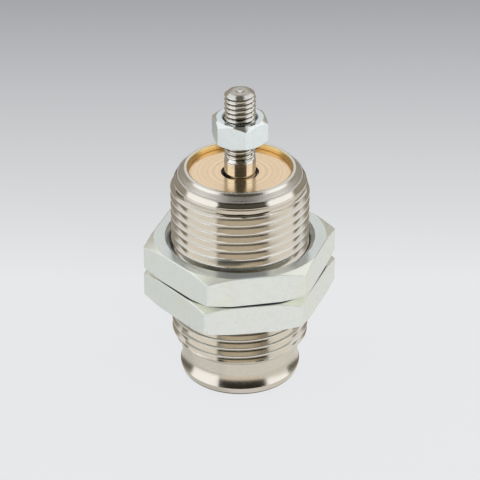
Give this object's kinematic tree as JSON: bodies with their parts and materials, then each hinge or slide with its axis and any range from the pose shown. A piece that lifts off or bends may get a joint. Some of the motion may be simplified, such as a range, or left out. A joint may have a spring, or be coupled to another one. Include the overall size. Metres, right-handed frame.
{
  "type": "cartridge pneumatic cylinder",
  "caption": "Threaded cartridge cylinder with a spring-returned piston rod, hexagon lock nuts on the barrel, a jam nut on the rod and a rear air port.",
  "frame": {"origin": "centre of the barrel's rear face", "axes": "+Z along the piston rod, the way it extends"},
  "size_m": [0.0308, 0.0294, 0.05],
  "materials": {
    "nickel_plate": "nickel-plated brass, polished",
    "turned_brass": "turned brass, bare",
    "bearing_bronze": "oiled sintered bronze",
    "seal_rubber": "moulded nitrile rubber",
    "spring_steel": "drawn spring wire",
    "rod_steel": "ground stainless steel",
    "piston_alloy": "turned aluminium",
    "bright_zinc": "bright zinc-plated steel",
    "satin_zinc": "satin zinc-plated steel"
  },
  "bodies": {
    "barrel_body": {"cartridge_barrel": "nickel_plate", "front_cap": "turned_brass", "rod_guide_bush": "bearing_bronze", "front_bumper": "seal_rubber", "rear_bumper": "seal_rubber", "return_spring": "spring_steel"},
    "rod_body": {"piston_rod": "rod_steel", "piston_head": "piston_alloy", "piston_cup_seal": "seal_rubber", "cup_backing_washer": "turned_brass"},
    "rod_nut_body": {"rod_nut": "bright_zinc"},
    "upper_nut_body": {"upper_lock_nut": "satin_zinc"},
    "lower_nut_body": {"lower_lock_nut": "satin_zinc"}
  },
  "joints": [
    {"name": "rod_stroke", "type": "slide", "parent": "barrel_body", "child": "rod_body", "axis": [0, 0, 1], "range_m": [0, 0.01], "stiffness_N_per_m": 1220, "springref_m": -0.0066, "deforming": ["return_spring"]},
    {"name": "rod_nut_travel", "type": "slide", "parent": "rod_body", "child": "rod_nut_body", "axis": [0, 0, 1], "range_m": [-0.0024, 0.004]},
    {"name": "upper_nut_travel", "type": "slide", "parent": "barrel_body", "child": "upper_nut_body", "axis": [0, 0, 1], "range_m": [0, 0.009]},
    {"name": "lower_nut_travel", "type": "slide", "parent": "barrel_body", "child": "lower_nut_body", "axis": [0, 0, 1], "range_m": [-0.006, 0]}
  ]
}
